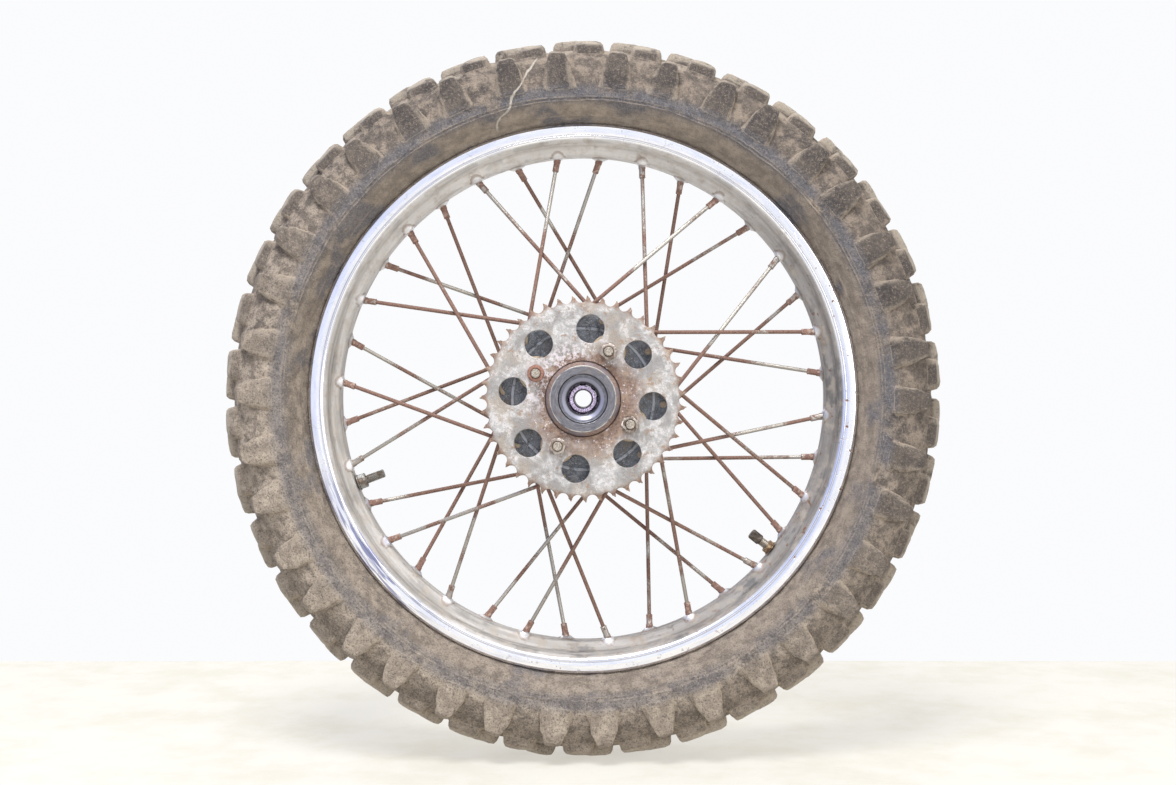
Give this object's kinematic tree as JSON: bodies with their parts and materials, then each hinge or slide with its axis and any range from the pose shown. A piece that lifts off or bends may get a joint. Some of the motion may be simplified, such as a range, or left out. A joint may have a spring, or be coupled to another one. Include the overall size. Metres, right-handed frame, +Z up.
{
  "type": "spoked motorcycle wheel",
  "caption": "Used knobbly-tyred wire-spoked rear wheel with a chain sprocket, drum-brake hub, ball bearings, inner tube, valve and rim lock.",
  "frame": {"origin": "on the axle's line, at the middle of the wheel's overall width, which is 8.5 mm to the sprocket side of the rim's mid-plane", "axes": "+Y along the axle from the sprocket side to the brake-drum side, +Z up, +X to the right as seen from the sprocket side"},
  "size_m": [0.638, 0.125, 0.637],
  "materials": {
    "tyre_rubber": "worn rubber caked with dry mud",
    "tube_rubber": "dusty black rubber",
    "rim_chrome": "bright chrome, pitted and dull in the well",
    "spoke_steel": "rusty zinc-plated wire",
    "hub_paint": "satin dark blue-grey paint, dusty",
    "drum_iron": "machined and worn",
    "sprocket_steel": "mottled white oxide and rust",
    "fastener_steel": "tarnished, partly rusty",
    "bearing_steel": "polished, greasy",
    "seal_rubber": "satin grey",
    "valve_brass": "tarnished",
    "cap_metal": "dark brown, knurled",
    "lock_steel": "dull grey-brown zinc"
  },
  "bodies": {
    "axle_parts": {"sprocket_bearing_inner_ring": "bearing_steel", "drum_bearing_inner_ring": "bearing_steel", "distance_tube": "bearing_steel"},
    "wheel": {"tyre": "tyre_rubber", "inner_tube": "tube_rubber", "rim_band": "tube_rubber", "rim": "rim_chrome", "spoke_01": "spoke_steel", "spoke_02": "spoke_steel", "spoke_03": "spoke_steel", "spoke_04": "spoke_steel", "spoke_05": "spoke_steel", "spoke_06": "spoke_steel", "spoke_07": "spoke_steel", "spoke_08": "spoke_steel", "spoke_09": "spoke_steel", "spoke_10": "spoke_steel", "spoke_11": "spoke_steel", "spoke_12": "spoke_steel", "spoke_13": "spoke_steel", "spoke_14": "spoke_steel", "spoke_15": "spoke_steel", "spoke_16": "spoke_steel", "spoke_17": "spoke_steel", "spoke_18": "spoke_steel", "spoke_19": "spoke_steel", "spoke_20": "spoke_steel", "spoke_21": "spoke_steel", "spoke_22": "spoke_steel", "spoke_23": "spoke_steel", "spoke_24": "spoke_steel", "spoke_25": "spoke_steel", "spoke_26": "spoke_steel", "spoke_27": "spoke_steel", "spoke_28": "spoke_steel", "spoke_29": "spoke_steel", "spoke_30": "spoke_steel", "spoke_31": "spoke_steel", "spoke_32": "spoke_steel", "spoke_33": "spoke_steel", "spoke_34": "spoke_steel", "spoke_35": "spoke_steel", "spoke_36": "spoke_steel", "hub": "hub_paint", "drum_liner": "drum_iron", "sprocket": "sprocket_steel", "sprocket_nut_1": "fastener_steel", "sprocket_nut_2": "fastener_steel", "sprocket_nut_3": "fastener_steel", "sprocket_nut_4": "fastener_steel", "sprocket_bearing_outer_ring": "bearing_steel", "drum_bearing_outer_ring": "bearing_steel", "oil_seal": "seal_rubber", "valve_nut": "valve_brass", "rim_lock": "lock_steel", "rim_lock_nut": "lock_steel"},
    "sprocket_side_balls": {"sprocket_bearing_ball_cage": "bearing_steel"},
    "drum_side_balls": {"drum_bearing_ball_cage": "bearing_steel"},
    "valve_cap": {"valve_cap": "cap_metal"}
  },
  "joints": [
    {"name": "wheel_spin", "type": "hinge", "parent": "axle_parts", "child": "wheel", "pos_m": [0, 0, 0], "axis": [0, 1, 0], "continuous": true},
    {"name": "sprocket_side_balls_orbit", "type": "hinge", "parent": "axle_parts", "child": "sprocket_side_balls", "pos_m": [0, -0.0428, 0], "axis": [0, 1, 0], "continuous": true},
    {"name": "drum_side_balls_orbit", "type": "hinge", "parent": "axle_parts", "child": "drum_side_balls", "pos_m": [0, 0.0278, 0], "axis": [0, 1, 0], "continuous": true},
    {"name": "valve_cap_lift", "type": "slide", "parent": "wheel", "child": "valve_cap", "axis": [-0.7804, 0, 0.6252], "range_m": [0, 0.012]}
  ],
  "couplings": [
    {"joint": "sprocket_side_balls_orbit", "follows": "wheel_spin", "ratio": 0.639},
    {"joint": "drum_side_balls_orbit", "follows": "wheel_spin", "ratio": 0.639}
  ]
}
